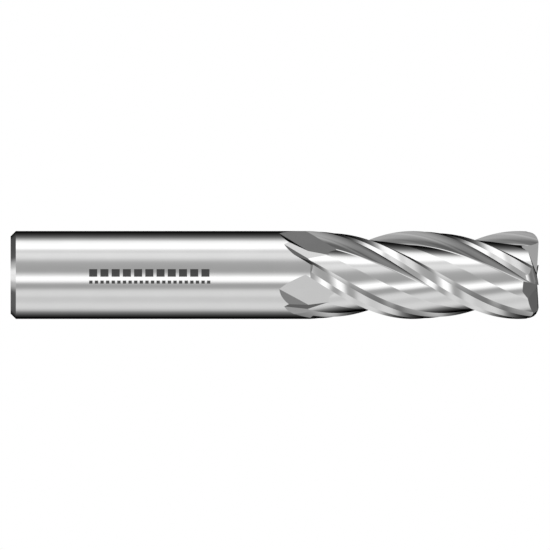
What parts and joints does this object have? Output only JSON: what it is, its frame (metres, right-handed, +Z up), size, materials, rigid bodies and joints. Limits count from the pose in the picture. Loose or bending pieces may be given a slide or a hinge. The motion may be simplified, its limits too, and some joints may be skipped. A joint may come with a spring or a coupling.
{
  "type": "end mill",
  "caption": "Solid carbide end mill: plain round shank with chamfered rear, right-hand helical flutes running out onto the shank, and a flat cutting end with rounded corners.",
  "frame": {"origin": "centre of the shank's flat rear face, on the tool's axis", "axes": "+X along the axis from the rear face to the cutting end, +Z up, +Y away from the viewer of the source view"},
  "size_m": [0.0762, 0.0126, 0.0126],
  "materials": {
    "carbide_cylindrical": "centreless-ground bright tungsten carbide, very fine grinding lines around the shank",
    "carbide_ground": "flute-ground bright tungsten carbide, fine grinding lines along the flutes and lands"
  },
  "bodies": {
    "root": {"shank": "carbide_cylindrical", "flute_runout": "carbide_ground", "web": "carbide_ground", "end_web": "carbide_ground", "tooth_1": "carbide_ground", "tooth_2": "carbide_ground", "tooth_3": "carbide_ground", "tooth_4": "carbide_ground", "end_tooth_1": "carbide_ground", "end_tooth_2": "carbide_ground", "end_tooth_3": "carbide_ground", "end_tooth_4": "carbide_ground"}
  },
  "joints": []
}
